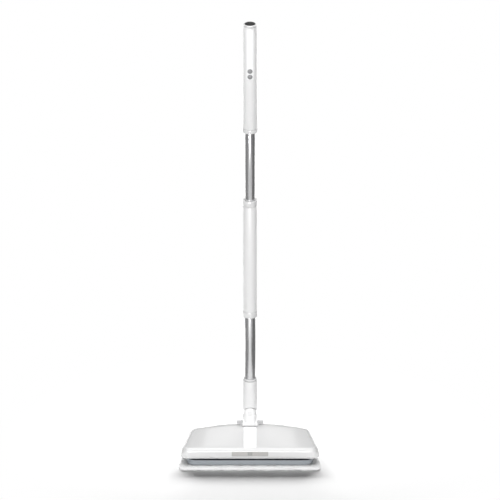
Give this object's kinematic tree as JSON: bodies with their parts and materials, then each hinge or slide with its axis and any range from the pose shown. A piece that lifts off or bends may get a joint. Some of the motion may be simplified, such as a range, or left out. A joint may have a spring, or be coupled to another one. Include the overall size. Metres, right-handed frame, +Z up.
{
  "type": "cordless electric flat mop",
  "caption": "Upright cordless floor cleaner: low wide head with a light strip over a fluffy pad, swivel neck, plug-together tube handle with battery grip.",
  "frame": {"origin": "on the floor, under the middle of the pad", "axes": "+Z up along the upright handle, +X across the head, -Y towards the front with the light strip"},
  "size_m": [0.3332, 0.148, 1.0759],
  "materials": {
    "pad_fabric": "white looped microfibre",
    "hook_tape": "woven hook tape",
    "plate_plastic": "blue-grey moulded",
    "dark_plastic": "dark grey moulded",
    "cover_plastic": "white gloss",
    "trim_plastic": "bright white high gloss",
    "neck_plastic": "white satin",
    "grip_plastic": "white satin gloss",
    "joint_plastic": "mid grey",
    "button_plastic": "grey satin",
    "lens_plastic": "smoked diffusing strip, unlit",
    "window_plastic": "dark gloss",
    "tube_aluminium": "satin anodised",
    "steel": "plated",
    "cell_can": "shrink-wrapped can",
    "circuit_board": "green solder mask",
    "plug_rubber": "black soft rubber",
    "lead_rubber": "black cable jacket"
  },
  "bodies": {
    "head": {"chassis": "dark_plastic", "head_cover": "cover_plastic", "cover_trim": "trim_plastic", "cover_screw_1": "steel", "cover_screw_2": "steel", "cover_screw_3": "steel", "cover_screw_4": "steel", "light_lens": "lens_plastic", "status_window": "window_plastic", "led_board": "circuit_board", "motor_mount": "dark_plastic", "drive_motor": "steel", "driver_board": "circuit_board", "head_lead": "lead_rubber", "pivot_bracket": "joint_plastic", "bracket_screw_left": "steel", "bracket_screw_right": "steel", "tilt_axle": "steel", "axle_cap_left": "joint_plastic", "axle_cap_right": "joint_plastic"},
    "plate": {"mop_plate": "plate_plastic", "mop_pad": "pad_fabric", "hook_strip_front": "hook_tape", "hook_strip_rear": "hook_tape", "glide_stud_1": "steel", "glide_stud_2": "steel", "glide_stud_3": "steel", "glide_stud_4": "steel"},
    "eccentric": {"motor_shaft": "steel", "eccentric_hub": "joint_plastic", "eccentric_bearing": "steel"},
    "knuckle": {"knuckle": "neck_plastic", "side_pin": "neck_plastic"},
    "handle": {"connector": "neck_plastic", "collar_ring": "cover_plastic", "lower_tube": "tube_aluminium", "sleeve_collar_lower": "cover_plastic", "middle_sleeve": "neck_plastic", "sleeve_collar_upper": "cover_plastic", "tube_joiner": "dark_plastic", "upper_tube": "tube_aluminium", "grip_collar": "cover_plastic", "grip_shell": "grip_plastic", "front_panel": "trim_plastic", "battery_cell_1": "cell_can", "battery_cell_2": "cell_can", "control_board": "circuit_board", "end_ring": "cover_plastic", "charge_jack": "dark_plastic", "handle_lead": "lead_rubber"},
    "power_button": {"power_button": "button_plastic"},
    "light_button": {"light_button": "button_plastic"},
    "charge_plug": {"charge_plug": "plug_rubber"}
  },
  "joints": [
    {"name": "handle_tilt", "type": "hinge", "parent": "head", "child": "knuckle", "pos_m": [0, 0.034, 0.0751], "axis": [-1, 0, 0], "range_deg": [0, 90]},
    {"name": "side_tilt", "type": "hinge", "parent": "knuckle", "child": "handle", "pos_m": [0, 0.034, 0.1032], "axis": [0, 1, 0], "range_deg": [-40, 40]},
    {"name": "pad_sweep", "type": "slide", "parent": "head", "child": "plate", "axis": [1, 0, 0], "range_m": [-0.003, 0.003]},
    {"name": "eccentric_spin", "type": "hinge", "parent": "head", "child": "eccentric", "pos_m": [0, -0.018, 0.025], "axis": [0, 0, 1], "continuous": true},
    {"name": "power_press", "type": "slide", "parent": "handle", "child": "power_button", "axis": [0, 1, 0], "range_m": [0, 0.0012], "stiffness_N_per_m": 800},
    {"name": "light_press", "type": "slide", "parent": "handle", "child": "light_button", "axis": [0, 1, 0], "range_m": [0, 0.0012], "stiffness_N_per_m": 800},
    {"name": "plug_pull", "type": "slide", "parent": "handle", "child": "charge_plug", "axis": [0, 0, 1], "range_m": [0, 0.02]}
  ]
}
